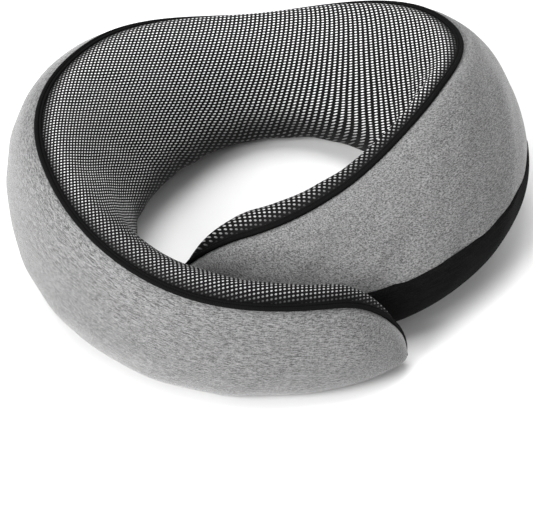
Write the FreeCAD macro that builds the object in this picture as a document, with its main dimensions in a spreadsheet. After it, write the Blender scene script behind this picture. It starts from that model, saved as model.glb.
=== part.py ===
import FreeCAD, Part
import math
import os

# U shaped neck pillow whose two arms curl round until the left one laps outside the right.
# +Z is up and the underside rests on z = 0. +Y points at the back, -X is the left arm's side.
# All sizes are millimetres and degrees.

Vector = FreeCAD.Vector
STATIONS = ("back", "corner", "side", "front", "tip")

# One row of the size table each: a value at every station, spaced evenly along an arm.
PROFILES = {
    "width": (52, 73, 58, 40, 36),
    "height": (79, 95, 104, 86, 46),
    "taper": (10, 26, 26, 20, 4),
    "left_bend": (112, 113, 104, 113, 190),
    "right_bend": (107, 97, 88, 92, 138),
    "left_lean": (0, 10, 13, 13, -4),
    "right_lean": (0, 0, -13, -22, -16),
    "left_lift": (0, 0, 0, 0, 8),
    "right_lift": (0, 6, 13, 5, 10),
    "left_seam": (53, 84, 85, 61, 72),
    "right_seam": (53, 75, 85, 61, 26),
}

SIZES = {
    "arm_length": 390,
    "back_x": 9.6,
    "back_y": 102.4,
    "tip_round": 41,
    "floor_press": 0.8,
    "lower_seam": 240,
    "flex_at": 0.22,
    "body_gap": 0.4,
    "cover_thick": 1.5,
    "liner_thick": 0.6,
    "layer_gap": 0.4,
    "piping_radius": 1.8,
    "piping_proud": 1.0,
    "loop_from": 0.36,
    "loop_to": 0.92,
    "loop_top": -18,
    "loop_bottom": -72,
    "hook_from": 0.74,
    "hook_to": 0.93,
    "hook_top": 150,
    "hook_bottom": 212,
    "patch_thick": 1.2,
    "zip_radius": 271.2,
    "zip_depth": 242.9,
    "zip_level": 33,
    "zip_half_length": 55,
    "tape_thick": 0.7,
    "tape_height": 8.5,
    "tape_slit": 0.6,
    "coil_height": 1.9,
    "coil_thick": 1.6,
    "coil_gap": 0.1,
    "stop_length": 2.2,
    "slider_length": 11,
    "slider_height": 9,
    "slider_wall": 1.2,
    "slip": 0.3,
    "bridge_length": 8,
    "bridge_height": 3,
    "bridge_rise": 2.4,
    "bridge_roof": 0.8,
    "bridge_leg": 1.2,
    "pull_length": 24,
    "pull_height": 8,
    "pull_thick": 1.0,
    "pull_bar": 1.5,
    "pull_play": 1.0,
    "pull_rod": 0.6,
    "pull_lift": 0.15,
}

PATH_STEPS = 200
SECTION_POINTS = 72
ROUNDNESS = 0.9
TOP_FULLNESS = 0.95
UNDER_FULLNESS = 0.8
LEAST_CORE = 0.04
TURN_STEP = 0.25


def fill_sheet(sheet):
    """Writes the station profiles as a table, then the single sizes below it."""
    for row, (profile, values) in enumerate(PROFILES.items(), start=2):
        sheet.set(f"A{row}", profile)
        for column, station, value in zip("BCDEF", STATIONS, values):
            sheet.set(f"{column}1", station)
            sheet.set(f"{column}{row}", str(value))
            sheet.setAlias(f"{column}{row}", f"{profile}_{station}")
    for row, (alias, value) in enumerate(SIZES.items(), start=len(PROFILES) + 3):
        sheet.set(f"A{row}", alias)
        sheet.set(f"B{row}", str(value))
        sheet.setAlias(f"B{row}", alias)


os.makedirs("parts", exist_ok=True)
doc = FreeCAD.newDocument("NeckPillow")
sheet = doc.addObject("Spreadsheet::Sheet", "Sizes")
fill_sheet(sheet)
doc.recompute()
parts = []


def size(alias):
    return float(sheet.get(alias))


def along(profile, place):
    """A profile's value at place, 0 at the back's centre and 1 at the tip, on a smooth curve."""
    values = [size(f"{profile}_{station}") for station in STATIONS]
    last = len(values) - 1
    reach = min(max(place, 0.0), 1.0) * last
    i = min(int(reach), last - 1)
    f = reach - i
    slopes = [0.0]
    slopes += [(values[k + 1] - values[k - 1]) / 2 for k in range(1, last)]
    slopes.append(values[last] - values[last - 1])
    return (
        values[i] * (2 * f**3 - 3 * f**2 + 1)
        + slopes[i] * (f**3 - 2 * f**2 + f)
        + values[i + 1] * (3 * f**2 - 2 * f**3)
        + slopes[i + 1] * (f**3 - f**2)
    )


class Arm:
    """Half of the pillow, from the back's centre to one tip."""

    def __init__(self, name, side):
        self.name = name
        self.side = side
        self.path = self.centre_line()

    def centre_line(self):
        """(x, y, turned angle) at even steps, bending by the arm's bend radius at each place."""
        step = size("arm_length") / PATH_STEPS
        x, y, turned = size("back_x"), size("back_y"), 0.0
        path = [(x, y, turned)]
        for k in range(PATH_STEPS):
            radius = along(f"{self.name}_bend", (k + 0.5) / PATH_STEPS)
            middle = turned + step / radius / 2
            x += self.side * math.cos(middle) * step
            y -= math.sin(middle) * step
            turned += step / radius
            path.append((x, y, turned))
        return path

    def centre(self, place):
        """The centre line's point and the level direction that points out of the pillow."""
        reach = min(max(place, 0.0), 1.0) * PATH_STEPS
        i = min(int(reach), PATH_STEPS - 1)
        f = reach - i
        x, y, turned = (a + (b - a) * f for a, b in zip(self.path[i], self.path[i + 1]))
        return Vector(x, y, 0), Vector(self.side * math.sin(turned), math.cos(turned), 0)

    def flat_section(self, place, turn, inset):
        """(outward, up) of a section's point at rest on its base, before it leans."""
        length = size("arm_length")
        width = along("width", place)
        height = along("height", place)
        taper = along("taper", place) / 100
        to_tip = max((1 - place) * length - inset, 0.0) / (size("tip_round") - inset)
        shrink = math.sqrt(1 - (1 - min(to_tip, 1.0)) ** 2)
        shrink = max(shrink, LEAST_CORE)
        across, upright = math.cos(math.radians(turn)), math.sin(math.radians(turn))
        fullness = TOP_FULLNESS if upright > 0 else UNDER_FULLNESS
        out = math.copysign(abs(across) ** ROUNDNESS, across)
        rise = math.copysign(abs(upright) ** fullness, upright)
        out *= (width / 2 - inset) * (1 - taper * rise) * shrink
        rise *= (height / 2 - inset) * shrink
        return out, height / 2 + rise

    def leaned(self, place, out, up):
        """(outward, up) turned by the arm's lean about the middle of its base."""
        lean = math.radians(along(f"{self.name}_lean", place))
        return (
            out * math.cos(lean) + up * math.sin(lean),
            up * math.cos(lean) - out * math.sin(lean),
        )

    def base_level(self, place):
        """Height added to a leaned section so that its lowest point has the arm's lift."""
        turns = [360 * k / SECTION_POINTS for k in range(SECTION_POINTS)]
        low = min(self.leaned(place, *self.flat_section(place, a, 0))[1] for a in turns)
        return along(f"{self.name}_lift", place) - low - size("floor_press")

    def point(self, place, turn, inset):
        """A point inset below the surface. turn: 0 faces out, 90 up, 180 the neck, 270 down."""
        centre, outward = self.centre(place)
        out, up = self.leaned(place, *self.flat_section(place, turn, inset))
        return centre + outward * out + Vector(0, 0, up + self.base_level(place))

    def turn_clear_of(self, line, place, turn, length, way):
        """The first turn, going one way from turn, whose point is length away from a line of points."""
        while min((self.point(place, turn, 0) - spot).Length for spot in line) < length:
            turn += way * TURN_STEP
        return turn


LEFT = Arm("left", -1)
RIGHT = Arm("right", 1)
EVEN_STEPS = 13
TIP_ANGLES = range(8, 81, 8)


def arm_places(start, end=1.0):
    """Places along an arm from start to end, closer together where the tip rounds off."""
    rounding = size("tip_round") / size("arm_length")
    straight_end = min(end, 1 - rounding)
    steps = max(2, round(EVEN_STEPS * (straight_end - start)))
    places = [start + (straight_end - start) * k / steps for k in range(steps + 1)]
    tips = [1 - rounding * (1 - math.sin(math.radians(a))) for a in TIP_ANGLES]
    return places + [p for p in tips if p < end + 1e-6 and p > straight_end]


def back_route():
    """(arm, place) across the back, from the right flex plane to the left one."""
    edge = size("flex_at") - size("body_gap") / 2 / size("arm_length")
    half = [edge * k / 4 for k in range(5)]
    return [(RIGHT, p) for p in reversed(half)] + [(LEFT, p) for p in half[1:]]


def arm_route(arm, end=1.0):
    """(arm, place) from an arm's flex plane to its tip."""
    start = size("flex_at") + size("body_gap") / 2 / size("arm_length")
    return [(arm, p) for p in arm_places(start, end)]


def add(label, shape):
    """A sub-part of its own in the document."""
    feature = doc.addObject("Part::Feature", label)
    feature.Label = label
    feature.Shape = shape
    feature.Placement = FreeCAD.Placement()
    parts.append(feature)
    return feature


def curve(points):
    """A smooth open edge through the points."""
    spline = Part.BSplineCurve()
    spline.interpolate(points)
    return spline.toShape()


def closed_curve(points):
    """A smooth closed edge through the points."""
    spline = Part.BSplineCurve()
    spline.interpolate(Points=points, PeriodicFlag=True)
    return spline.toShape()


QUARTER_POINTS = 5
BAND_POINTS = 14
RING_POINTS = 8
SEAM_NEAR = 6
PATCH_STEPS = 8


def filled(route, inset):
    """A solid of the pillow's shape along the route, inset below its surface."""
    wires = []
    for arm, place in route:
        quarters = []
        for first in (0, 90, 180, 270):
            turns = [first + 90 * k / QUARTER_POINTS for k in range(QUARTER_POINTS + 1)]
            quarters.append(curve([arm.point(place, a, inset) for a in turns]))
        wires.append(Part.Wire(quarters))
    return Part.makeLoft(wires, True, True)


def band(route, edges, outer, inner):
    """A sheet of material between two insets and two turns, which edges gives at each place."""
    wires = []
    for arm, place in route:
        first, last = edges(arm, place)
        turns = [first + (last - first) * k / BAND_POINTS for k in range(BAND_POINTS + 1)]
        outside = curve([arm.point(place, a, outer) for a in turns])
        inside = curve([arm.point(place, a, inner) for a in turns])
        first_end, last_end = (
            Part.makeLine(arm.point(place, a, outer), arm.point(place, a, inner)) for a in (first, last)
        )
        wires.append(Part.Wire([outside, last_end, inside, first_end]))
    return Part.makeLoft(wires, True, True)


def seam_turn(arm, place):
    return along(f"{arm.name}_seam", place)


def seam_line(arm, place):
    """Points a millimetre apart along the seam beside place."""
    near = [place + k / size("arm_length") for k in range(-SEAM_NEAR, SEAM_NEAR + 1)]
    return [arm.point(p, seam_turn(arm, p), 0) for p in near if p <= 1]


def edge_at_piping(arm, place, way):
    clear = size("piping_radius") + size("layer_gap")
    return arm.turn_clear_of(seam_line(arm, place), place, seam_turn(arm, place), clear, way)


def edge_at_lower_seam(arm, place, way):
    low = size("lower_seam")
    return arm.turn_clear_of([arm.point(place, low, 0)], place, low, size("layer_gap") / 2, way)


def jersey_edges(arm, place):
    """The jersey runs from the lower seam, under and outside, up to the piping."""
    return edge_at_lower_seam(arm, place, 1) - 360, edge_at_piping(arm, place, -1)


def mesh_edges(arm, place):
    """The mesh runs from the piping, over the top and down the neck side, to the lower seam."""
    return edge_at_piping(arm, place, 1), edge_at_lower_seam(arm, place, -1)


def above_floor(shape):
    """The shape with what lies below the floor pressed flat."""
    reach = 2 * size("arm_length")
    corner = Vector(-reach / 2, -reach / 2, -reach)
    return shape.cut(Part.makeBox(reach, reach, reach, corner))


def piping(route):
    """A round cord that lies in the seam between the jersey and the mesh."""
    radius = size("piping_radius")
    centres = [arm.point(p, seam_turn(arm, p), -size("piping_proud")) for arm, p in route]
    wires = []
    for k, (arm, place) in enumerate(route):
        ahead = centres[min(k + 1, len(centres) - 1)] - centres[max(k - 1, 0)]
        side = ahead.cross(Vector(0, 0, 1)).normalize()
        over = side.cross(ahead).normalize()
        if abs(place - size("flex_at")) * size("arm_length") < size("body_gap"):
            outward = arm.centre(place)[1]
            side, over = outward * math.copysign(1, outward.dot(side)), Vector(0, 0, 1)
        turns = [2 * math.pi * j / RING_POINTS for j in range(RING_POINTS)]
        ring = [centres[k] + (side * math.cos(a) + over * math.sin(a)) * radius for a in turns]
        wires.append(Part.Wire(closed_curve(ring)))
    return Part.makeLoft(wires, True, True)


def add_layers(name, route):
    """Everything that is sewn or stuffed along one stretch of the pillow."""
    cover = size("cover_thick")
    liner_top = cover + size("layer_gap")
    liner_under = liner_top + size("liner_thick")
    core = liner_under + size("layer_gap")
    inside = [(arm, p) for arm, p in route if (1 - p) * size("arm_length") > 2 * core]
    add(f"foam_core_{name}", filled(inside, core))
    add(f"foam_liner_{name}", filled(inside, liner_top).cut(filled(inside, liner_under)))
    add(f"jersey_cover_{name}", above_floor(band(route, jersey_edges, 0, cover)))
    add(f"mesh_panel_{name}", band(route, mesh_edges, 0, cover))
    add(f"piping_{name}", piping(route))


def add_patch(label, arm, kind, edges):
    """A patch of hook or loop tape, cut out of a layer that lies on the whole cover."""
    gap, thick = size("layer_gap") / 2, size("patch_thick")
    layer = band(arm_route(arm), edges, -gap - thick, -gap)
    start, end = size(f"{kind}_from"), size(f"{kind}_to")
    turns = sorted((size(f"{kind}_top"), size(f"{kind}_bottom")))
    route = [(arm, start + (end - start) * k / PATCH_STEPS) for k in range(PATCH_STEPS + 1)]
    cutter = band(route, lambda arm, place: turns, -gap - 2 * thick, thick)
    add(label, layer.common(cutter))


def part_of_zip(kind, label, **expressions):
    """A primitive of the zip whose properties follow the sheet."""
    feature = doc.addObject(kind, label)
    for name, expression in expressions.items():
        feature.setExpression(name, expression)
    return feature


def cut(label, base, tool):
    feature = doc.addObject("Part::Cut", label)
    feature.Base = base
    feature.Tool = tool
    feature.Label = label
    return feature


def fuse(label, *shapes):
    feature = doc.addObject("Part::MultiFuse", label)
    feature.Shapes = list(shapes)
    feature.Label = label
    return feature


# The zip's pieces are sectors of rings about an upright axis, so that the slider can follow it.
TAPE_FACE = "Sizes.zip_radius + Sizes.tape_thick"
COIL_FACE = f"{TAPE_FACE} + Sizes.coil_thick"
CHANNEL_FACE = f"{COIL_FACE} + Sizes.slip"
SLIDER_FACE = f"{CHANNEL_FACE} + Sizes.slider_wall"
SLIT = "Sizes.tape_slit / 2"
REST = "(Sizes.zip_half_length - Sizes.stop_length - Sizes.slip - Sizes.slider_length / 2)"
CLOSED_END = "(Sizes.zip_half_length - Sizes.stop_length / 2)"


def zip_axis():
    """The foot of the upright line that the zip curves about."""
    return Vector(size("back_x"), size("back_y") - size("zip_depth"), 0)


def ring_sector(label, inner, outer, low, tall, middle, length):
    """A piece between two radii, tall above low, length round the arc about middle from x = 0."""
    solids = []
    for name, radius in ((f"{label}_outer", outer), (f"{label}_inner", inner)):
        degrees = f"(({length}) / Sizes.zip_radius * 180 / pi)"
        spot = f"(({middle}) / Sizes.zip_radius * 180 / pi)"
        solid = part_of_zip(
            "Part::Cylinder",
            name,
            Radius=radius,
            Height=tall,
            Angle=degrees,
        )
        solid.setExpression("Placement.Base.x", "Sizes.back_x")
        solid.setExpression("Placement.Base.y", "Sizes.back_y - Sizes.zip_depth")
        solid.setExpression("Placement.Base.z", low)
        solid.setExpression("Placement.Rotation.Angle", f"90 - {spot} - {degrees} / 2")
        solid.Placement.Rotation.Axis = Vector(0, 0, 1)
        solids.append(solid)
    return cut(label, *solids)


def add_zip():
    """Two tapes with a coil each, and a stop at either end."""
    whole = "2 * Sizes.zip_half_length"
    coils = f"{whole} - 2 * Sizes.stop_length - 2 * Sizes.slip"
    tape_low = {
        "upper": f"Sizes.zip_level + {SLIT}",
        "lower": f"Sizes.zip_level - {SLIT} - Sizes.tape_height",
    }
    coil_low = {
        "upper": "Sizes.zip_level + Sizes.coil_gap / 2",
        "lower": "Sizes.zip_level - Sizes.coil_gap / 2 - Sizes.coil_height",
    }
    for name in ("upper", "lower"):
        tape = (tape_low[name], "Sizes.tape_height", "0", whole)
        coil = (coil_low[name], "Sizes.coil_height", "0", coils)
        parts.append(ring_sector(f"zip_tape_{name}", "Sizes.zip_radius", TAPE_FACE, *tape))
        parts.append(ring_sector(f"zip_coil_{name}", TAPE_FACE, COIL_FACE, *coil))
    for name, sign in (("closed", "-1"), ("open", "1")):
        low, tall = "Sizes.zip_level - Sizes.coil_height", "2 * Sizes.coil_height"
        stop = (low, tall, f"{sign} * {CLOSED_END}", "Sizes.stop_length")
        parts.append(ring_sector(f"zip_stop_{name}", TAPE_FACE, COIL_FACE, *stop))


def add_slider():
    """A plate with a flange along each edge, round the coils, and a bridge for the pull."""
    spot = f"-1 * {REST}"
    half_channel = "(Sizes.coil_gap / 2 + Sizes.coil_height + Sizes.slip)"
    block = ring_sector(
        "slider_block",
        f"{TAPE_FACE} + Sizes.slip",
        SLIDER_FACE,
        "Sizes.zip_level - Sizes.slider_height / 2",
        "Sizes.slider_height",
        spot,
        "Sizes.slider_length",
    )
    channel = ring_sector(
        "slider_channel",
        "Sizes.zip_radius",
        CHANNEL_FACE,
        f"Sizes.zip_level - {half_channel}",
        f"2 * {half_channel}",
        spot,
        "2 * Sizes.slider_length",
    )
    bridge = ring_sector(
        "slider_bridge_block",
        f"{SLIDER_FACE} - Sizes.slider_wall / 2",
        f"{SLIDER_FACE} + Sizes.bridge_rise",
        "Sizes.zip_level - Sizes.bridge_height / 2",
        "Sizes.bridge_height",
        spot,
        "Sizes.bridge_length",
    )
    eye = ring_sector(
        "slider_bridge_eye",
        f"{SLIDER_FACE} - Sizes.slider_wall",
        f"{SLIDER_FACE} + Sizes.bridge_rise - Sizes.bridge_roof",
        "Sizes.zip_level - Sizes.bridge_height",
        "2 * Sizes.bridge_height",
        spot,
        "Sizes.bridge_length - 2 * Sizes.bridge_leg",
    )
    body = cut("slider_body", block, channel)
    arch = cut("slider_bridge", bridge, eye)
    parts.append(fuse("zip_slider", body, arch))


def add_pull():
    """A flat tab with a round end and a window at its root, whose rod turns under the bridge."""
    end_round = "Sizes.pull_height / 2"
    straight = f"Sizes.pull_length - {end_round}"
    width, thick = "Sizes.pull_height", "Sizes.pull_thick"
    plate = part_of_zip("Part::Box", "pull_plate", Length=straight, Width=thick, Height=width)
    plate.setExpression("Placement.Base.y", f"-{thick} / 2")
    plate.setExpression("Placement.Base.z", f"-{width} / 2")
    end = part_of_zip("Part::Cylinder", "pull_end", Radius=end_round, Height=thick)
    end.Placement = FreeCAD.Placement(Vector(), FreeCAD.Rotation(Vector(1, 0, 0), -90))
    end.setExpression("Placement.Base.x", straight)
    end.setExpression("Placement.Base.y", f"-{thick} / 2")
    window_length = "Sizes.bridge_length / 2 + 2 * Sizes.pull_play"
    window_width = "Sizes.pull_height - 2 * Sizes.pull_bar"
    window = part_of_zip(
        "Part::Box",
        "pull_window",
        Length=window_length,
        Width=f"3 * {thick}",
        Height=window_width,
    )
    window.setExpression("Placement.Base.x", "-Sizes.pull_play")
    window.setExpression("Placement.Base.y", f"-3 * {thick} / 2")
    window.setExpression("Placement.Base.z", f"-({window_width}) / 2")
    rod_length = "(Sizes.pull_height - Sizes.pull_bar)"
    rod = part_of_zip("Part::Cylinder", "pull_rod_bar", Radius="Sizes.pull_rod", Height=rod_length)
    rod.setExpression("Placement.Base.z", f"-{rod_length} / 2")
    pull = fuse("zip_pull", cut("pull_tab", fuse("pull_outline", plate, end), window), rod)
    pull.Placement = pull_rest()
    parts.append(pull)


def pull_rest():
    """Where the pull's rod lies, and the way its tab points, with the zip closed."""
    layers = ("tape_thick", "coil_thick", "slip", "slider_wall", "pull_lift", "pull_rod")
    reach = size("zip_radius") + sum(size(layer) for layer in layers)
    angle = slider_turn() / 2
    spot = zip_axis() + Vector(-reach * math.sin(angle), reach * math.cos(angle), size("zip_level"))
    return FreeCAD.Placement(spot, FreeCAD.Rotation(Vector(0, 0, 1), math.degrees(angle)))


def slider_turn():
    """The slider's whole travel round the zip's axis, in radians."""
    ends = 2 * (size("stop_length") + size("slip")) + size("slider_length")
    return (2 * size("zip_half_length") - ends) / size("zip_radius")


def check_and_write():
    """Recomputes, stops on anything that failed, then writes one file for each sub-part."""
    doc.recompute()
    for item in doc.Objects:
        bad = {"Invalid", "Error"} & set(item.State)
        if bad:
            raise RuntimeError(f"{item.Label}: {bad}")
    for part in parts:
        shape = part.Shape
        if shape.isNull() or not shape.isValid() or not shape.Solids:
            raise RuntimeError(f"{part.Label} has no valid solid")
        shape.exportStep(os.path.join("parts", f"{part.Label}.step"))
        box = shape.BoundBox
        print(
            f"{part.Label:24s} {shape.Volume / 1000:9.2f} cm3 "
            f"x {box.XMin:7.1f} {box.XMax:7.1f} y {box.YMin:7.1f} {box.YMax:7.1f} "
            f"z {box.ZMin:6.2f} {box.ZMax:6.1f} solids {len(shape.Solids)}"
        )


def print_joints():
    """The joints' places for the record: the outermost point of each flex plane, and the zip's."""
    place = size("flex_at")
    for arm in (LEFT, RIGHT):
        print(arm.name, "flex axis at", arm.point(place, 0, -0.5))
    print("zip axis at", zip_axis())
    print("zip travel", math.degrees(slider_turn()), "degrees")
    print("pull axis at", pull_rest().Base)
    under = LEFT.point(0, 270, 0)
    print("base rests at", Vector(under.x, under.y, 0))


add_layers("back", back_route())
add_layers("left", arm_route(LEFT))
add_layers("right", arm_route(RIGHT))
add_patch("hook_patch", LEFT, "hook", mesh_edges)
add_patch("loop_patch", RIGHT, "loop", jersey_edges)
add_zip()
add_slider()
add_pull()
print_joints()
check_and_write()
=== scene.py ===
"""The looks of the U shaped neck pillow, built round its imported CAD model. Metres, +Z up."""

import math

import bpy
import numpy as np
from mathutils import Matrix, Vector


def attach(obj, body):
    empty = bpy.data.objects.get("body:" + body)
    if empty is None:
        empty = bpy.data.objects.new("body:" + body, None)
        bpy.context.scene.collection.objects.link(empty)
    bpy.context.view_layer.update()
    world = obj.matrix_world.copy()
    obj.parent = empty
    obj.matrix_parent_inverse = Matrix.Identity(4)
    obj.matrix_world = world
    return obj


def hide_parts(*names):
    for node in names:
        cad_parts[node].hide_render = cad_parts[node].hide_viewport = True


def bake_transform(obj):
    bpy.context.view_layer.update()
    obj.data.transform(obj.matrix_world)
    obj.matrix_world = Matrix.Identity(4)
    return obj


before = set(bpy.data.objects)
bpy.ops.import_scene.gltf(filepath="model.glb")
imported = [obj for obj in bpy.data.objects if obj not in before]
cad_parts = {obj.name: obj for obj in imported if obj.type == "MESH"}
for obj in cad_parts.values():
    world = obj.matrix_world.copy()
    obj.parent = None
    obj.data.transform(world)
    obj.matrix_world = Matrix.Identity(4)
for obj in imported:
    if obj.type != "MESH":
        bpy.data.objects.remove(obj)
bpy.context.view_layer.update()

MM = 0.001

# --- the pillow's shape, in the same millimetres and degrees as the CAD model ---

PROFILES = {
    "width": (52, 73, 58, 40, 36),
    "height": (79, 95, 104, 86, 46),
    "taper": (10, 26, 26, 20, 4),
    "left_bend": (112, 113, 104, 113, 190),
    "right_bend": (107, 97, 88, 92, 138),
    "left_lean": (0, 10, 13, 13, -4),
    "right_lean": (0, 0, -13, -22, -16),
    "left_lift": (0, 0, 0, 0, 8),
    "right_lift": (0, 6, 13, 5, 10),
    "left_seam": (53, 84, 85, 61, 72),
    "right_seam": (53, 75, 85, 61, 26),
}
ARM_LENGTH = 390
BACK_X, BACK_Y = 9.6, 102.4
TIP_ROUND = 41
FLOOR_PRESS = 0.8
LOWER_SEAM = 240
ROUNDNESS, TOP_FULLNESS, UNDER_FULLNESS = 0.9, 0.95, 0.8
ZIP_RADIUS, ZIP_DEPTH, ZIP_LEVEL, ZIP_HALF_LENGTH = 271.2, 242.9, 33, 55
ZIP_AXIS = (BACK_X, BACK_Y - ZIP_DEPTH)


def along(profile, place):
    """A profile's value at each place, 0 at the back's centre and 1 at a tip."""
    values = np.array(PROFILES[profile], float)
    last = len(values) - 1
    reach = np.clip(np.asarray(place, float), 0, 1) * last
    i = np.minimum(reach.astype(int), last - 1)
    f = reach - i
    slopes = np.concatenate(([0], (values[2:] - values[:-2]) / 2, [values[-1] - values[-2]]))
    return (
        values[i] * (2 * f**3 - 3 * f**2 + 1)
        + slopes[i] * (f**3 - 2 * f**2 + f)
        + values[i + 1] * (3 * f**2 - 2 * f**3)
        + slopes[i + 1] * (f**3 - f**2)
    )


class Arm:
    """Half of the pillow, from the back's centre to one tip."""

    steps = 400

    def __init__(self, name, side):
        self.name = name
        self.side = side
        even = np.arange(self.steps + 1) / self.steps
        step = ARM_LENGTH / self.steps
        turns = step / along(f"{name}_bend", even[:-1] + 0.5 / self.steps)
        turned = np.concatenate(([0], np.cumsum(turns)))
        middle = turned[:-1] + turns / 2
        self.even = even
        self.turned = turned
        self.x = BACK_X + np.concatenate(([0], np.cumsum(side * np.cos(middle) * step)))
        self.y = BACK_Y - np.concatenate(([0], np.cumsum(np.sin(middle) * step)))
        ring = np.linspace(0, 360, 72, endpoint=False)[None]
        low = self.leaned(even[:, None], *self.flat_section(even[:, None], ring, 0))[1].min(1)
        self.base = along(f"{name}_lift", even) - low - FLOOR_PRESS

    def centre(self, place):
        x, y, turned = (np.interp(place, self.even, v) for v in (self.x, self.y, self.turned))
        return x, y, self.side * np.sin(turned), np.cos(turned)

    def flat_section(self, place, turn, inset):
        width, height = along("width", place), along("height", place)
        taper = along("taper", place) / 100
        to_tip = np.maximum((1 - place) * ARM_LENGTH - inset, 0) / (TIP_ROUND - inset)
        shrink = np.sqrt(1 - (1 - np.minimum(to_tip, 1)) ** 2)
        across, upright = np.cos(np.radians(turn)), np.sin(np.radians(turn))
        fullness = np.where(upright > 0, TOP_FULLNESS, UNDER_FULLNESS)
        out = np.sign(across) * np.abs(across) ** ROUNDNESS
        rise = np.sign(upright) * np.abs(upright) ** fullness
        out = out * (width / 2 - inset) * (1 - taper * rise) * shrink
        return out, height / 2 + rise * (height / 2 - inset) * shrink

    def leaned(self, place, out, up):
        lean = np.radians(along(f"{self.name}_lean", place))
        return (
            out * np.cos(lean) + up * np.sin(lean),
            up * np.cos(lean) - out * np.sin(lean),
        )

    def point(self, place, turn, inset):
        """Points of the surface, in millimetres. turn: 0 faces out, 90 up, 180 the neck."""
        x, y, nx, ny = self.centre(place)
        out, up = self.leaned(place, *self.flat_section(place, turn, inset))
        up = up + np.interp(place, self.even, self.base)
        return np.stack(np.broadcast_arrays(x + nx * out, y + ny * out, up), -1)


LEFT = Arm("left", -1)
RIGHT = Arm("right", 1)
ARMS = {"left": LEFT, "right": RIGHT}

# --- grids over the whole pillow, from the right tip round the back to the left tip ---

EVEN_COLUMNS = 210
TIP_COLUMNS = 40
TIP_END_ANGLE = 88.5


def half_places():
    """Places from the back's centre to a tip, closing in where the tip rounds off."""
    rounding = TIP_ROUND / ARM_LENGTH
    even = np.linspace(0, 1 - rounding, EVEN_COLUMNS, endpoint=False)
    angles = np.radians(np.linspace(0, TIP_END_ANGLE, TIP_COLUMNS))
    return np.concatenate((even, 1 - rounding * (1 - np.sin(angles))))


PLACES = half_places()
SIGNED = np.concatenate((-PLACES[:0:-1], PLACES))
CENTRE_COLUMN = len(PLACES) - 1
HALF_COLUMNS = {"right": slice(0, CENTRE_COLUMN + 1), "left": slice(CENTRE_COLUMN, None)}


def both(right, left):
    """One array over the whole pillow from the right arm's values and the left arm's."""
    return np.concatenate((right[:0:-1], left))


def whole(turn, inset):
    """Points over the whole pillow. turn and inset are arrays of a row for each column."""
    right, left = slice(CENTRE_COLUMN, None, -1), slice(CENTRE_COLUMN, None)
    return both(
        RIGHT.point(PLACES[:, None], turn[right], inset[right]),
        LEFT.point(PLACES[:, None], turn[left], inset[left]),
    )


def seam_turns():
    return both(along("right_seam", PLACES), along("left_seam", PLACES))[:, None]


def arc_lengths(points):
    """Distance along each column's rows from the first row, in millimetres."""
    steps = np.linalg.norm(np.diff(points, axis=1), axis=2)
    return np.concatenate((np.zeros((len(points), 1)), np.cumsum(steps, axis=1)), axis=1)


def grid_normals(points):
    """Unit normals of a grid of points, which has to run so that they face outward."""
    du = np.gradient(points, axis=0)
    dv = np.gradient(points, axis=1)
    normal = np.cross(du, dv)
    return normal / np.maximum(np.linalg.norm(normal, axis=2, keepdims=True), 1e-9)


def smooth_step(x, low, high):
    f = np.clip((x - low) / (high - low), 0, 1)
    return f * f * (3 - 2 * f)


def panel_turns(first, last, rows, beside):
    """Rows of turns between two edges, each moved in by the angle of `beside` millimetres."""
    share = np.linspace(0, 1, rows)[None]
    turn = first + (last - first) * share
    reach = arc_lengths(whole(turn, np.zeros_like(turn)))[:, -1:]
    per_mm = (last - first) / np.maximum(reach, 1)
    first = first + per_mm * beside[0]
    last = last - per_mm * beside[1]
    return first + (last - first) * share


# --- relief of the stuffed cover over its plain shape ---

SEAM_DIP, SEAM_REACH = 1.7, 4.5
SWELL, SWELL_AT, SWELL_REACH = 0.5, 11, 7
LOWER_SEAM_SHARE = 0.6
UNDULATION = 0.35


def undulation(distance, around):
    """Slow unevenness of stuffed cloth, in millimetres, from a few crossed waves."""
    waves = ((61, 47, 0.3), (37, 83, 1.9), (97, 29, 4.1), (26, 31, 2.6))
    total = 0
    for length, girth, phase in waves:
        total = total + np.sin(2 * np.pi * (distance / length + around / girth) + phase)
    return UNDULATION * total / 2


def seam_relief(from_seam):
    """The cover dips to a seam and swells a little just beyond it."""
    dip = -SEAM_DIP * np.exp(-((from_seam / SEAM_REACH) ** 1.3))
    swell = SWELL * np.exp(-(((from_seam - SWELL_AT) / SWELL_REACH) ** 2))
    return dip + swell


PUCKER_PITCH, PUCKER_DEPTH, PUCKER_REACH = 5.2, 0.16, 4.0


def puckers(distance, from_seam):
    """Little gathers that the stitching pulls into the cover beside a seam."""
    gather = np.sin(2 * np.pi * distance / PUCKER_PITCH + 1.5 * np.sin(distance / 17))
    return PUCKER_DEPTH * gather * np.exp(-from_seam / PUCKER_REACH)


def cover_points(turn, seam_first):
    """A panel's points with relief. seam_first says whether its first row is at the piping."""
    plain = whole(turn, np.zeros_like(turn))
    around = arc_lengths(plain)
    from_first, from_last = around, around[:, -1:] - around
    distance = SIGNED[:, None] * ARM_LENGTH
    to_piping, to_lower = (from_first, from_last) if seam_first else (from_last, from_first)
    relief = seam_relief(to_piping) + LOWER_SEAM_SHARE * seam_relief(to_lower)
    relief = relief + puckers(distance, to_piping)
    relief = relief + LOWER_SEAM_SHARE * puckers(distance + 2, to_lower)
    relief = relief + undulation(distance, to_piping) * smooth_step(to_piping, 3, 25)
    tip = smooth_step((1 - np.abs(SIGNED[:, None])) * ARM_LENGTH, 0, 12)
    points = whole(turn, -relief * tip)
    points = meet_zip(points)
    points[..., 2] = np.maximum(points[..., 2], 0.05)
    return points, around, distance, to_piping


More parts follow.
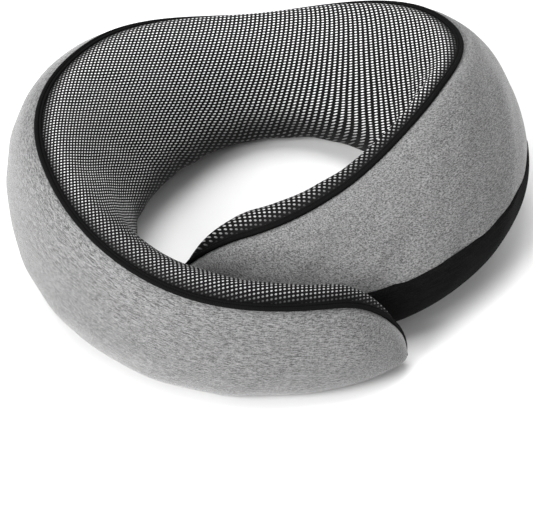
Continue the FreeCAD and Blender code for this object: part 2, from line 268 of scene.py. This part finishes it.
def meet_zip(points):
    """Moves the cover out or in, low on the back, on to the round face that the zip lies on."""
    gap = np.stack((points[..., 0] - ZIP_AXIS[0], points[..., 1] - ZIP_AXIS[1]), -1)
    radius = np.linalg.norm(gap, axis=-1)
    beyond = np.abs(points[..., 0] - BACK_X) - ZIP_HALF_LENGTH
    level = np.abs(points[..., 2] - ZIP_LEVEL)
    share = (1 - smooth_step(beyond, 0, 22)) * (1 - smooth_step(level, 11, 26))
    share = share * (points[..., 1] > BACK_Y)
    shift = share * (ZIP_RADIUS - 0.15 - radius)
    points[..., :2] += gap / radius[..., None] * shift[..., None]
    return points


# --- making Blender meshes ---


def new_mesh(name, vertices, faces, normals=None, cloth=None):
    """An object in the scene from millimetre vertices; cloth is a texture place per vertex."""
    mesh = bpy.data.meshes.new(name)
    mesh.from_pydata((np.asarray(vertices) * MM).tolist(), [], faces)
    mesh.shade_smooth()
    if cloth is not None:
        layer = mesh.attributes.new("cloth", "FLOAT_VECTOR", "POINT")
        layer.data.foreach_set("vector", np.asarray(cloth, np.float32).ravel())
    mesh.validate()
    if normals is not None:
        mesh.normals_split_custom_set_from_vertices(np.asarray(normals).tolist())
    piece = bpy.data.objects.new(name, mesh)
    bpy.context.scene.collection.objects.link(piece)
    return piece


def grid_faces(columns, rows, offset=0, flip=False, closed=False):
    """Quads of a grid whose vertices run column by column."""
    last = rows if closed else rows - 1
    u, v = np.meshgrid(np.arange(columns - 1), np.arange(last), indexing="ij")
    w = (v + 1) % rows
    a, b = offset + u * rows + v, offset + (u + 1) * rows + v
    c, d = offset + (u + 1) * rows + w, offset + u * rows + w
    order = (a, d, c, b) if flip else (a, b, c, d)
    return np.stack(order, -1).reshape(-1, 4).tolist()


def shell(name, points, normals, cloth, thickness):
    """A closed sheet of cloth: the grid, a copy thickness below it, and its rim."""
    columns, rows = points.shape[:2]
    count = columns * rows
    under = points - normals * thickness
    vertices = np.concatenate((points.reshape(-1, 3), under.reshape(-1, 3)))
    faces = grid_faces(columns, rows) + grid_faces(columns, rows, count, flip=True)
    index = np.arange(count).reshape(columns, rows)
    rim = np.concatenate((index[0, ::-1], index[1:, 0], index[-1, 1:], index[-2::-1, -1]))
    faces += [(int(a), int(b), int(b) + count, int(a) + count) for a, b in zip(rim[:-1], rim[1:])]
    all_normals = np.concatenate((normals.reshape(-1, 3), -normals.reshape(-1, 3)))
    return new_mesh(name, vertices, faces, all_normals, np.concatenate((cloth, cloth)))


def halves(name, points, normals, cloth, thickness):
    """A panel as two shells that meet at the back's centre, by arm name."""
    pieces = {}
    for side, columns in HALF_COLUMNS.items():
        part = points[columns]
        flat_cloth = cloth[columns].reshape(-1, 3)
        pieces[side] = shell(f"{name}_{side}", part, normals[columns], flat_cloth, thickness)
    return pieces


def tube_mesh(name, centres, side_way, radius, cloth_start=0.0, ring=14):
    """A round cord along centres, with closed ends. side_way is a direction for each ring."""
    ahead = np.gradient(centres, axis=0)
    ahead /= np.linalg.norm(ahead, axis=1, keepdims=True)
    over = np.cross(ahead, side_way)
    over /= np.linalg.norm(over, axis=1, keepdims=True)
    side = np.cross(over, ahead)
    angles = np.linspace(0, 2 * np.pi, ring, endpoint=False)
    radius = np.broadcast_to(radius, (len(centres),))[:, None, None]
    spokes = side[:, None] * np.cos(angles)[:, None] + over[:, None] * np.sin(angles)[:, None]
    points = centres[:, None] + radius * spokes
    run = cloth_start + np.concatenate(([0], np.cumsum(np.linalg.norm(np.diff(centres, axis=0), axis=1))))
    cloth = np.stack(np.broadcast_arrays(run[:, None], angles[None], 0.0), -1).reshape(-1, 3)
    ends = np.array((centres[0], centres[-1]))
    vertices = np.concatenate((points.reshape(-1, 3), ends))
    cloth = np.concatenate((cloth, [(run[0], 0, 0), (run[-1], 0, 0)]))
    count = len(centres) * ring
    faces = grid_faces(len(centres), ring, closed=True)
    for k in range(ring):
        following = (k + 1) % ring
        faces.append((count, k, following))
        first = count - ring
        faces.append((count + 1, first + following, first + k))
    return new_mesh(name, vertices, faces, cloth=cloth)


# --- baking transforms, giving materials and hiding the CAD nodes ---


def bend_with(piece):
    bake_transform(piece)


def finish_soft(piece, material, nodes):
    """Gives a soft piece its material, bakes its transform and hides the CAD nodes that it stands for."""
    piece.data.materials.append(material)
    bend_with(piece)
    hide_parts(*nodes)


# --- materials ---


class Nodes:
    """A short way to write a node material."""

    def __init__(self, name):
        self.material = bpy.data.materials.new(name)
        self.material.use_nodes = True
        self.tree = self.material.node_tree
        self.shader = self.tree.nodes["Principled BSDF"]

    def link(self, value, socket):
        if isinstance(value, bpy.types.NodeSocket):
            self.tree.links.new(value, socket)
        elif value is not None:
            socket.default_value = value

    def math(self, operation, *values, clamp=False):
        node = self.tree.nodes.new("ShaderNodeMath")
        node.operation = operation
        node.use_clamp = clamp
        for value, socket in zip(values, node.inputs):
            self.link(value, socket)
        return node.outputs[0]

    def cloth(self, stretch=(1, 1, 1), turn=0.0, shift=(0, 0, 0)):
        """The piece's cloth coordinates in millimetres, turned and then stretched."""
        place = self.tree.nodes.new("ShaderNodeAttribute")
        place.attribute_name = "cloth"
        turned = self.tree.nodes.new("ShaderNodeVectorRotate")
        turned.rotation_type = "Z_AXIS"
        turned.inputs["Angle"].default_value = math.radians(turn)
        scaled = self.tree.nodes.new("ShaderNodeVectorMath")
        scaled.operation = "MULTIPLY_ADD"
        self.link(place.outputs["Vector"], turned.inputs["Vector"])
        self.link(turned.outputs[0], scaled.inputs[0])
        scaled.inputs[1].default_value = stretch
        scaled.inputs[2].default_value = shift
        return scaled.outputs[0]

    def split(self, vector):
        node = self.tree.nodes.new("ShaderNodeSeparateXYZ")
        self.link(vector, node.inputs[0])
        return node.outputs

    def noise(self, vector, scale, detail=2.0, roughness=0.5):
        node = self.tree.nodes.new("ShaderNodeTexNoise")
        self.link(vector, node.inputs["Vector"])
        node.inputs["Scale"].default_value = scale
        node.inputs["Detail"].default_value = detail
        node.inputs["Roughness"].default_value = roughness
        return node.outputs[0]

    def ramp(self, value, low, high, first, last):
        """A colour that goes from first to last as value goes from low to high."""
        node = self.tree.nodes.new("ShaderNodeMapRange")
        node.interpolation_type = "SMOOTHSTEP"
        for name, number in (("Value", value), ("From Min", low), ("From Max", high)):
            self.link(number, node.inputs[name])
        return self.mix(node.outputs[0], first, last)

    def span(self, value, low, high, first=0.0, last=1.0):
        node = self.tree.nodes.new("ShaderNodeMapRange")
        node.interpolation_type = "SMOOTHSTEP"
        numbers = (value, low, high, first, last)
        for name, number in zip(("Value", "From Min", "From Max", "To Min", "To Max"), numbers):
            self.link(number, node.inputs[name])
        return node.outputs[0]

    def mix(self, factor, first, last):
        node = self.tree.nodes.new("ShaderNodeMix")
        node.data_type = "RGBA"
        self.link(factor, node.inputs[0])
        self.link(colour(first), node.inputs[6])
        self.link(colour(last), node.inputs[7])
        return node.outputs[2]

    def bump(self, height, strength, distance):
        node = self.tree.nodes.new("ShaderNodeBump")
        node.inputs["Strength"].default_value = strength
        node.inputs["Distance"].default_value = distance
        self.link(height, node.inputs["Height"])
        self.link(node.outputs[0], self.shader.inputs["Normal"])

    def set(self, **values):
        for name, value in values.items():
            self.link(value, self.shader.inputs[name.replace("_", " ")])
        return self.material


def colour(value):
    """A grey level as a colour; anything else as it is."""
    return (value, value, value, 1) if isinstance(value, float) else value


def jersey_material():
    """Light grey heathered knit: fine diagonal flecks over slower patches, with a pale nap."""
    n = Nodes("heathered_jersey")
    streak = n.noise(n.cloth((0.42, 1.25, 1), turn=24), 1.0, 3.0, 0.62)
    fleck = n.noise(n.cloth((1.5, 1.5, 1), shift=(31, 7, 0)), 1.0, 2.0, 0.6)
    patch = n.noise(n.cloth((0.05, 0.05, 1), shift=(5, 3, 0)), 1.0, 2.0, 0.5)
    heather = n.math("MULTIPLY_ADD", fleck, 0.55, n.math("MULTIPLY", streak, 0.75))
    heather = n.math("MULTIPLY_ADD", patch, 0.12, heather)
    tone = n.ramp(heather, 0.52, 0.90, 0.055, 0.25)
    wale = n.split(n.cloth((2 * math.pi / 0.9,) * 3, turn=45))
    knit = n.math("MULTIPLY", n.math("SINE", wale[0]), n.math("SINE", wale[1]))
    height = n.math("MULTIPLY_ADD", knit, 0.35, n.math("MULTIPLY", fleck, 1.2))
    n.bump(height, 0.55, 0.0003)
    rough = n.span(fleck, 0.3, 0.7, 0.84, 0.97)
    return n.set(
        Base_Color=tone,
        Roughness=rough,
        Sheen_Weight=0.55,
        Sheen_Roughness=0.32,
        Sheen_Tint=(1, 1, 1, 1),
        Specular_IOR_Level=0.2,
    )


DOT_PITCH_X, DOT_PITCH_Y = 2.3, 1.5
DOT_SLANT = -0.3
CELL_WIDTH, CELL_HEIGHT = 0.58, 0.50


def mesh_material():
    """Black spacer mesh: rows of open cells that show the white yarn inside, dimmed by painted shade near
    the seams.
    """
    n = Nodes("spacer_mesh")
    place = n.split(n.cloth())
    across = n.math("MULTIPLY_ADD", place[1], DOT_SLANT, place[0])
    cell_x = n.math("FRACT", n.math("DIVIDE", across, DOT_PITCH_X))
    cell_y = n.math("FRACT", n.math("DIVIDE", place[1], DOT_PITCH_Y))
    off_x = n.math("MULTIPLY", n.math("SUBTRACT", cell_x, 0.5), 2 / CELL_WIDTH)
    off_y = n.math("MULTIPLY", n.math("SUBTRACT", cell_y, 0.5), 2 / CELL_HEIGHT)
    away = n.math("SQRT", n.math("ADD", n.math("POWER", off_x, 2), n.math("POWER", off_y, 2)))
    cell = n.span(away, 0.72, 1.12, 1.0, 0.0)
    yarn = n.noise(n.cloth((0.5, 0.5, 0)), 1.0, 2.0)
    # place[2] is painted shade: it dims the white dots near the seams and on the arms' fronts.
    shown_and_shaded = n.math("MULTIPLY", n.math("MULTIPLY", cell, n.span(yarn, 0.2, 0.6, 0.7, 1.0)), place[2])
    tone = n.mix(shown_and_shaded, 0.003, 0.86)
    fuzz = n.noise(n.cloth((4, 4, 0)), 1.0, 2.0)
    height = n.math("MULTIPLY_ADD", cell, -1.0, n.math("MULTIPLY", fuzz, 0.3))
    n.bump(height, 0.5, 0.0004)
    rough = n.span(fuzz, 0.3, 0.7, 0.6, 0.85)
    return n.set(Base_Color=tone, Roughness=rough, Specular_IOR_Level=0.1)


def ribbed_black_material(name, pitch):
    """Black woven trim: ribs across its length, a little uneven."""
    n = Nodes(name)
    place = n.split(n.cloth())
    rib = n.math("SINE", n.math("MULTIPLY", place[0], 2 * math.pi / pitch))
    fuzz = n.noise(n.cloth((2.5, 2.5, 1)), 1.0, 3.0)
    tone = n.ramp(fuzz, 0.3, 0.75, 0.001, 0.007)
    n.bump(n.math("MULTIPLY_ADD", rib, 0.4, fuzz), 0.5, 0.0003)
    rough = n.span(fuzz, 0.3, 0.7, 0.7, 0.95)
    return n.set(Base_Color=tone, Roughness=rough, Specular_IOR_Level=0.06)


def loop_material():
    """Black brushed loop cloth: a soft nap with faint mottling."""
    n = Nodes("loop_nap")
    nap = n.noise(n.cloth((1.6, 1.6, 1)), 1.0, 4.0, 0.7)
    patch = n.noise(n.cloth((0.12, 0.12, 1)), 1.0, 2.0)
    tone = n.ramp(n.math("MULTIPLY_ADD", patch, 0.4, nap), 0.55, 1.0, 0.001, 0.010)
    n.bump(nap, 0.7, 0.0005)
    rough = n.span(nap, 0.3, 0.7, 0.9, 1.0)
    return n.set(Base_Color=tone, Roughness=rough, Specular_IOR_Level=0.08)


def hook_material():
    """Black nylon hook tape: close rows of tiny stiff hooks."""
    n = Nodes("hook_tape")
    place = n.split(n.cloth((2 * math.pi / 1.4, 2 * math.pi / 1.1, 1)))
    hooks = n.math("MULTIPLY", n.math("SINE", place[0]), n.math("SINE", place[1]))
    wear = n.noise(n.cloth((0.6, 0.6, 1)), 1.0, 3.0)
    tone = n.ramp(wear, 0.3, 0.8, 0.008, 0.03)
    n.bump(hooks, 0.8, 0.0006)
    rough = n.span(wear, 0.3, 0.7, 0.4, 0.6)
    return n.set(Base_Color=tone, Roughness=rough)


def foam_material():
    """Cream memory foam with fine open cells."""
    n = Nodes("memory_foam")
    cells = n.noise(n.cloth((1.2, 1.2, 1)), 1.0, 4.0, 0.7)
    tone = n.ramp(cells, 0.3, 0.7, (0.72, 0.66, 0.50, 1), (0.86, 0.82, 0.70, 1))
    n.bump(cells, 0.6, 0.0006)
    rough = n.span(cells, 0.3, 0.7, 0.85, 1.0)
    return n.set(Base_Color=tone, Roughness=rough)


def object_noise_material(name, dark, light, scale, rough_low, rough_high, metallic=0.0, bump=0.0001):
    """A finish for small hard parts and plain cloth, with fine unevenness in its own space."""
    n = Nodes(name)
    place = n.tree.nodes.new("ShaderNodeTexCoord")
    grain = n.noise(place.outputs["Object"], scale, 4.0, 0.6)
    tone = n.ramp(grain, 0.3, 0.7, dark, light)
    n.bump(grain, 0.4, bump)
    rough = n.span(grain, 0.3, 0.7, rough_low, rough_high)
    return n.set(Base_Color=tone, Roughness=rough, Metallic=metallic)


# --- pieces ---

COVER_THICK = 1.2
JERSEY_ROWS, MESH_ROWS = 110, 92


def add_covers():
    """The jersey outside and the mesh neck side, each in two halves."""
    seam = seam_turns()
    low = np.full_like(seam, LOWER_SEAM)
    jersey_turn = panel_turns(low - 360, seam, JERSEY_ROWS, (0.0, 1.0))
    points, around, distance, to_piping = cover_points(jersey_turn, seam_first=False)
    cloth = np.stack(np.broadcast_arrays(distance, around, to_piping), -1)
    normals = grid_normals(points)
    material = jersey_material()
    for side, piece in halves("jersey", points, normals, cloth, COVER_THICK).items():
        nodes = [f"jersey_cover_{side}", "jersey_cover_back"]
        finish_soft(piece, material, nodes)

    mesh_turn = panel_turns(seam, low, MESH_ROWS, (1.0, 0.0))
    points, around, distance, to_piping = cover_points(mesh_turn, seam_first=True)
    # The mesh's cloth z carries the painted shade of its dots.
    cloth = mesh_layout(mesh_turn, around)
    normals = grid_normals(points)
    material = mesh_material()
    for side, piece in halves("mesh", points, normals, cloth, COVER_THICK).items():
        nodes = [f"mesh_panel_{side}", "mesh_panel_back"]
        finish_soft(piece, material, nodes)


# The mesh's cells are laid out on a tilted plane, not along the cloth. The two tilt factors are
# about the sine and cosine of the camera's elevation, so the rows look level from the camera.
# From other sides the cells stretch, most of all where the walls turn away from that plane.
TILT_RUN, TILT_RISE = 0.66, 0.75
DRAW_IN = 0.30
FRONT_START, FRONT_END, FRONT_PITCH = 0.62, 0.80, 0.7
# How bright the dots are on the arms' fronts, as a share of their full brightness.
FRONT_DOT_BRIGHTNESS = 0.5


def mesh_layout(turn, around):
    """Each point's place among the cells, in millimetres, and how bright its dots are: painted shade near
    the seams, and dots at half brightness on the arms' fronts.
    """
    plain = whole(turn, np.zeros_like(turn))
    out_x = both(RIGHT.centre(PLACES)[2], LEFT.centre(PLACES)[2])[:, None]
    arm_share = np.abs(SIGNED)[:, None]
    across = plain[..., 0] - out_x * DRAW_IN * around
    level = TILT_RUN * plain[..., 1] + TILT_RISE * plain[..., 2]
    front = smooth_step(arm_share, FRONT_START, FRONT_END)
    level = level + front * (level[:, :1] + FRONT_PITCH * around - level)
    to_lower = around[:, -1:] - around
    # Painted shade: the white dots fade out near the piping seam and dim near the lower seam, where the
    # walls turn under. On the arms' fronts they are also dimmed to half.
    dot_painted_shade = smooth_step(around, 1.5, 10) * (0.15 + 0.85 * smooth_step(to_lower, 16, 42))
    dot_painted_shade = dot_painted_shade * (1 - (1 - FRONT_DOT_BRIGHTNESS) * smooth_step(arm_share, 0.5, 0.65))
    return np.stack((across, level, dot_painted_shade), -1)


CORE_RING = 60
CORE_INSET = 3.6
CORE_SHORT = 6


def add_cores():
    """The foam block inside, in two halves that stop a few columns short of the tips."""
    ring = np.linspace(0, 360, CORE_RING, endpoint=False)[None]
    turn = np.broadcast_to(ring, (len(SIGNED), CORE_RING))
    points = whole(turn, np.full(turn.shape, CORE_INSET))
    material = foam_material()
    core_columns = {
        "right": slice(CORE_SHORT, CENTRE_COLUMN + 1),
        "left": slice(CENTRE_COLUMN, -CORE_SHORT),
    }
    for side, columns in core_columns.items():
        part = points[columns]
        vertices = np.concatenate((part.reshape(-1, 3), part[0].mean(0)[None], part[-1].mean(0)[None]))
        cloth = np.concatenate((arc_cloth(part), [(0, 0, 0), (0, 0, 0)]))
        faces = grid_faces(len(part), CORE_RING, closed=True)
        count = len(part) * CORE_RING
        last = count - CORE_RING
        for k in range(CORE_RING):
            following = (k + 1) % CORE_RING
            faces.append((count, k, following))
            faces.append((count + 1, last + following, last + k))
        piece = new_mesh(f"foam_{side}", vertices, faces, cloth=cloth)
        nodes = [f"foam_core_{side}", "foam_core_back", f"foam_liner_{side}", "foam_liner_back"]
        finish_soft(piece, material, nodes)


def arc_cloth(points):
    """Plain cloth coordinates of a grid: distance along it and round it."""
    run = np.linalg.norm(np.diff(points, axis=0), axis=2).mean(1)
    along_grid = np.concatenate(([0], np.cumsum(run)))[:, None]
    around = arc_lengths(points)
    return np.stack(np.broadcast_arrays(along_grid, around, 0.0), -1).reshape(-1, 3)


CORD_RADIUS, CORD_SUNK = 1.25, 0.5
BINDING_RADIUS, BINDING_SUNK, BINDING_BESIDE = 0.8, 0.7, 1.9


def add_piping():
    """The round cord beside the jersey and the smaller ridge of its binding beside the mesh."""
    material = ribbed_black_material("piping_cloth", 0.9)
    seam = seam_turns()
    ridges = (
        ("piping", 0.0, CORD_RADIUS, CORD_SUNK),
        ("binding", BINDING_BESIDE, BINDING_RADIUS, BINDING_SUNK),
    )
    for name, beside, radius, sunk in ridges:
        turn = seam + beside * degrees_per_mm(seam)
        centres = whole(turn, np.full(turn.shape, sunk))[:, 0]
        above = whole(turn, np.full(turn.shape, sunk - 2.0))[:, 0] - centres
        for side, columns in HALF_COLUMNS.items():
            piece = tube_mesh(f"{name}_{side}", centres[columns], above[columns], radius)
            nodes = [f"piping_{side}", "piping_back"] if name == "piping" else []
            finish_soft(piece, material, nodes)


def degrees_per_mm(turn):
    """How many degrees of turn one millimetre of surface takes beside a line of turns."""
    step = whole(np.concatenate((turn - 2, turn + 2), 1), np.zeros((len(turn), 2)))
    length = np.linalg.norm(step[:, 1] - step[:, 0], axis=1)[:, None]
    return 4 / np.maximum(length, 0.8)


def patch_grid(arm, start, end, low, high, corner, columns=150, rows=44):
    """Places and turns of a patch with rounded ends; corner is their radius in millimetres."""
    places = np.linspace(start, end, columns)
    near_end = np.minimum(places - start, end - places) * ARM_LENGTH
    share = np.sqrt(np.clip(1 - (1 - np.clip(near_end / corner, 0.02, 1)) ** 2, 0, 1))
    middle, half = (low + high) / 2, (high - low) / 2
    full = np.linalg.norm(arm.point(places, high, 0) - arm.point(places, low, 0), axis=-1)
    squeeze = 1 - (1 - share) * np.minimum(2 * corner / full, 1)
    across = np.linspace(-1, 1, rows)[None]
    return places[:, None] * np.ones((1, rows)), middle + half * squeeze[:, None] * across


def add_patch(name, side, start, end, low, high, corner, lift, material, node):
    """A patch of hook or loop cloth that lies on the cover, with a turned down edge."""
    arm = ARMS[side]
    place, turn = patch_grid(arm, start, end, low, high, corner)
    plain = arm.point(place, turn, 0.0)
    around = arc_lengths(plain)
    distance = place * ARM_LENGTH
    inside = np.minimum(np.minimum(around, around[:, -1:] - around), (place - start) * ARM_LENGTH)
    inside = np.minimum(inside, (end - place) * ARM_LENGTH)
    rise = lift * np.sqrt(np.clip(1 - (1 - np.clip(inside / 1.2, 0, 1)) ** 2, 0, 1))
    height = undulation(distance, around) * smooth_step(around, 3, 25) + rise - 0.1
    points = arm.point(place, turn, -height)
    if arm.side > 0:
        points, place, around, distance = (v[::-1] for v in (points, place, around, distance))
    cloth = np.stack((distance, around, inside), -1).reshape(-1, 3)
    piece = shell(name, points, grid_normals(points), cloth, lift)
    finish_soft(piece, material, [node])


def material_for(nodes, material):
    """Gives CAD nodes that stay in view a better material."""
    for name in nodes:
        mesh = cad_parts[name].data
        mesh.materials.clear()
        mesh.materials.append(material)


TOOTH_PITCH = 1.3
TOOTH_GIRTH, TOOTH_REACH, TOOTH_RISE = 0.5, 1.0, 0.75
COIL_OUT, COIL_OFF_MIDDLE = 1.5, 0.55


def add_zip():
    """Coils as rows of interlocking turns; tapes, stops, slider and pull keep their CAD shape."""
    tape = object_noise_material("zip_tape", 0.09, 0.17, 2500, 0.8, 0.95)
    metal = object_noise_material("zip_metal", 0.10, 0.16, 900, 0.32, 0.48, metallic=0.85)
    nylon = object_noise_material("zip_nylon", 0.16, 0.24, 900, 0.35, 0.5)
    material_for(["zip_tape_upper", "zip_tape_lower"], tape)
    material_for(["zip_stop_closed", "zip_stop_open", "zip_slider", "zip_pull"], metal)
    for name, sign, offset in (("upper", 1, 0.0), ("lower", -1, 0.5)):
        piece = coil_mesh(f"coil_{name}", sign, offset)
        piece.data.materials.append(nylon)
        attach(piece, "back")
        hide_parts(f"zip_coil_{name}")


def coil_mesh(name, sign, offset):
    """One row of rounded coil turns that reach past the middle between the other row's."""
    count = int(2 * (ZIP_HALF_LENGTH - 3) / TOOTH_PITCH)
    ring = np.linspace(0, 2 * np.pi, 8, endpoint=False)
    runs = np.linspace(-1, 1, 7)
    vertices, faces = [], []
    for k in range(count):
        arc = (k + offset - count / 2) * TOOTH_PITCH / ZIP_RADIUS
        first = len(vertices)
        for run in runs:
            girth = TOOTH_GIRTH * math.sqrt(max(1 - run**6, 0.02))
            level = ZIP_LEVEL + sign * (COIL_OFF_MIDDLE + TOOTH_REACH * run)
            for angle in ring:
                rise = TOOTH_RISE * girth / TOOTH_GIRTH * math.sin(angle)
                radius = ZIP_RADIUS + COIL_OUT + rise
                turn = arc + girth * math.cos(angle) / ZIP_RADIUS
                x = ZIP_AXIS[0] - radius * math.sin(turn)
                y = ZIP_AXIS[1] + radius * math.cos(turn)
                vertices.append((x, y, level))
        faces += [tuple(f) for f in grid_faces(len(runs), len(ring), first, sign > 0, closed=True)]
        last = first + (len(runs) - 1) * len(ring)
        ends = [tuple(range(first, first + len(ring))), tuple(range(last, last + len(ring)))]
        faces.append(ends[0][::-1] if sign < 0 else ends[0])
        faces.append(ends[1] if sign < 0 else ends[1][::-1])
    return new_mesh(name, vertices, faces)


# --- floor, light and camera ---

LOOK_AT = (-0.0095, -0.0312, 0.0124)
CAMERA_AZIMUTH, CAMERA_ELEVATION, CAMERA_ROLL = -8.59, 41.36, -0.5
CAMERA_DISTANCE, LENS = 1.459, 181.6
SENSOR = 36
FLOOR_SIZE = 12
LIGHT_TARGET = (0, 0, 0.05)
WORLD_LIGHT = 0.5


def add_camera():
    """A long lens at the height and side that the pillow is seen from."""
    data = bpy.data.cameras.new("camera")
    data.lens = LENS
    data.sensor_width = SENSOR
    camera = bpy.data.objects.new("camera", data)
    bpy.context.scene.collection.objects.link(camera)
    azimuth, elevation = math.radians(CAMERA_AZIMUTH), math.radians(CAMERA_ELEVATION)
    back = Vector(
        (
            math.sin(azimuth) * math.cos(elevation),
            -math.cos(azimuth) * math.cos(elevation),
            math.sin(elevation),
        )
    )
    camera.location = Vector(LOOK_AT) + back * CAMERA_DISTANCE
    camera.rotation_euler = (-back).to_track_quat("-Z", "Y").to_euler()
    camera.rotation_euler.rotate_axis("Z", math.radians(CAMERA_ROLL))
    bpy.context.scene.camera = camera


def add_area_light(name, place, target, size, power):
    data = bpy.data.lights.new(name, "AREA")
    data.size = size
    data.energy = power
    light = bpy.data.objects.new(name, data)
    light.location = place
    way = Vector(place) - Vector(target)
    light.rotation_euler = way.to_track_quat("Z", "Y").to_euler()
    bpy.context.scene.collection.objects.link(light)


def add_studio():
    """A pale floor, soft light from above and from the front left, and a weak light behind."""
    bpy.ops.mesh.primitive_plane_add(size=FLOOR_SIZE)
    floor = bpy.context.object
    floor.name = "floor"
    material = object_noise_material("floor", 0.86, 0.90, 3, 0.7, 0.8, bump=0.0)
    floor.data.materials.append(material)
    world = bpy.data.worlds.new("world")
    bpy.context.scene.world = world
    world.use_nodes = True
    world.node_tree.nodes["Background"].inputs[0].default_value = (1, 1, 1, 1)
    world.node_tree.nodes["Background"].inputs[1].default_value = WORLD_LIGHT
    add_area_light("key", (-1.3, -1.1, 1.1), LIGHT_TARGET, 0.9, 52)
    add_area_light("top", (-0.3, 0.0, 2.2), LIGHT_TARGET, 1.3, 34)
    add_area_light("back", (0.9, 1.0, 1.4), LIGHT_TARGET, 0.9, 8)
    bpy.context.scene.view_settings.view_transform = "Standard"


add_camera()
add_studio()
add_covers()
add_cores()
add_piping()
add_patch("loop_area", "right", 0.36, 0.92, -72, -18, 14, 0.9, loop_material(), "loop_patch")
add_patch("hook_area", "left", 0.74, 0.93, 150, 212, 10, 1.0, hook_material(), "hook_patch")
add_zip()
